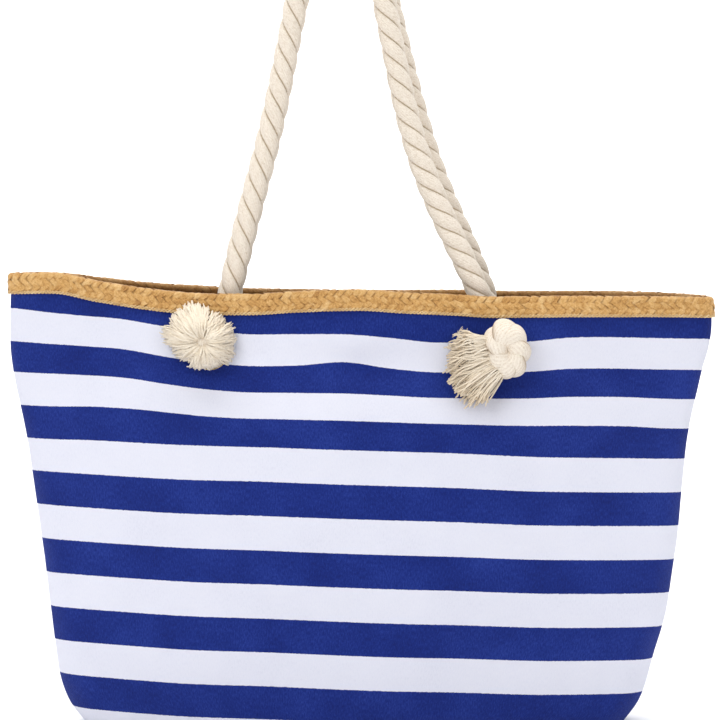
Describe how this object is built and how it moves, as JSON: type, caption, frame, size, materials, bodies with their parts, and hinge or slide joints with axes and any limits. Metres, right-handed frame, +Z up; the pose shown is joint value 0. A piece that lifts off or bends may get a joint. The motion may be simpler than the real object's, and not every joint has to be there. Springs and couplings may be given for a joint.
{
  "type": "beach bag",
  "caption": "Striped canvas beach tote with a plaited straw rim and two rope handles that are knotted through eyelets and end in frayed tassels.",
  "frame": {"origin": "on the floor under the middle of the bag", "axes": "+Z up, +X along the mouth, the front of the bag faces -Y"},
  "size_m": [0.556, 0.2154, 0.6217],
  "materials": {
    "canvas": "matte",
    "lining": "matte",
    "braid": "satin",
    "rope": "matte",
    "yarn": "matte",
    "eyelet_metal": "satin",
    "snap_metal": "satin"
  },
  "bodies": {
    "bag": {"front_panel": "canvas", "rear_panel": "canvas", "base_panel": "canvas", "front_lining": "lining", "rear_lining": "lining", "base_lining": "lining", "inner_pocket": "lining", "front_rim_braid": "braid", "rear_rim_braid": "braid", "front_left_eyelet": "eyelet_metal", "front_right_eyelet": "eyelet_metal", "rear_left_eyelet": "eyelet_metal", "rear_right_eyelet": "eyelet_metal", "front_left_eyelet_washer": "eyelet_metal", "front_right_eyelet_washer": "eyelet_metal", "rear_left_eyelet_washer": "eyelet_metal", "rear_right_eyelet_washer": "eyelet_metal", "front_left_rope_leg": "rope", "front_right_rope_leg": "rope", "rear_left_rope_leg": "rope", "rear_right_rope_leg": "rope", "front_left_knot": "rope", "front_right_knot": "rope", "rear_left_knot": "rope", "rear_right_knot": "rope", "front_left_tassel": "yarn", "front_right_tassel": "yarn", "rear_left_tassel": "yarn", "rear_right_tassel": "yarn", "snap_socket": "snap_metal", "snap_stud": "snap_metal"},
    "front_rope_handle": {"front_handle": "rope"},
    "rear_rope_handle": {"rear_handle": "rope"}
  },
  "joints": [
    {"name": "front_handle_swing", "type": "hinge", "parent": "bag", "child": "front_rope_handle", "pos_m": [0, -0.0434, 0.352], "axis": [1, 0, 0], "range_deg": [0, 105]},
    {"name": "rear_handle_swing", "type": "hinge", "parent": "bag", "child": "rear_rope_handle", "pos_m": [0, 0.0434, 0.352], "axis": [-1, 0, 0], "range_deg": [0, 105]}
  ]
}
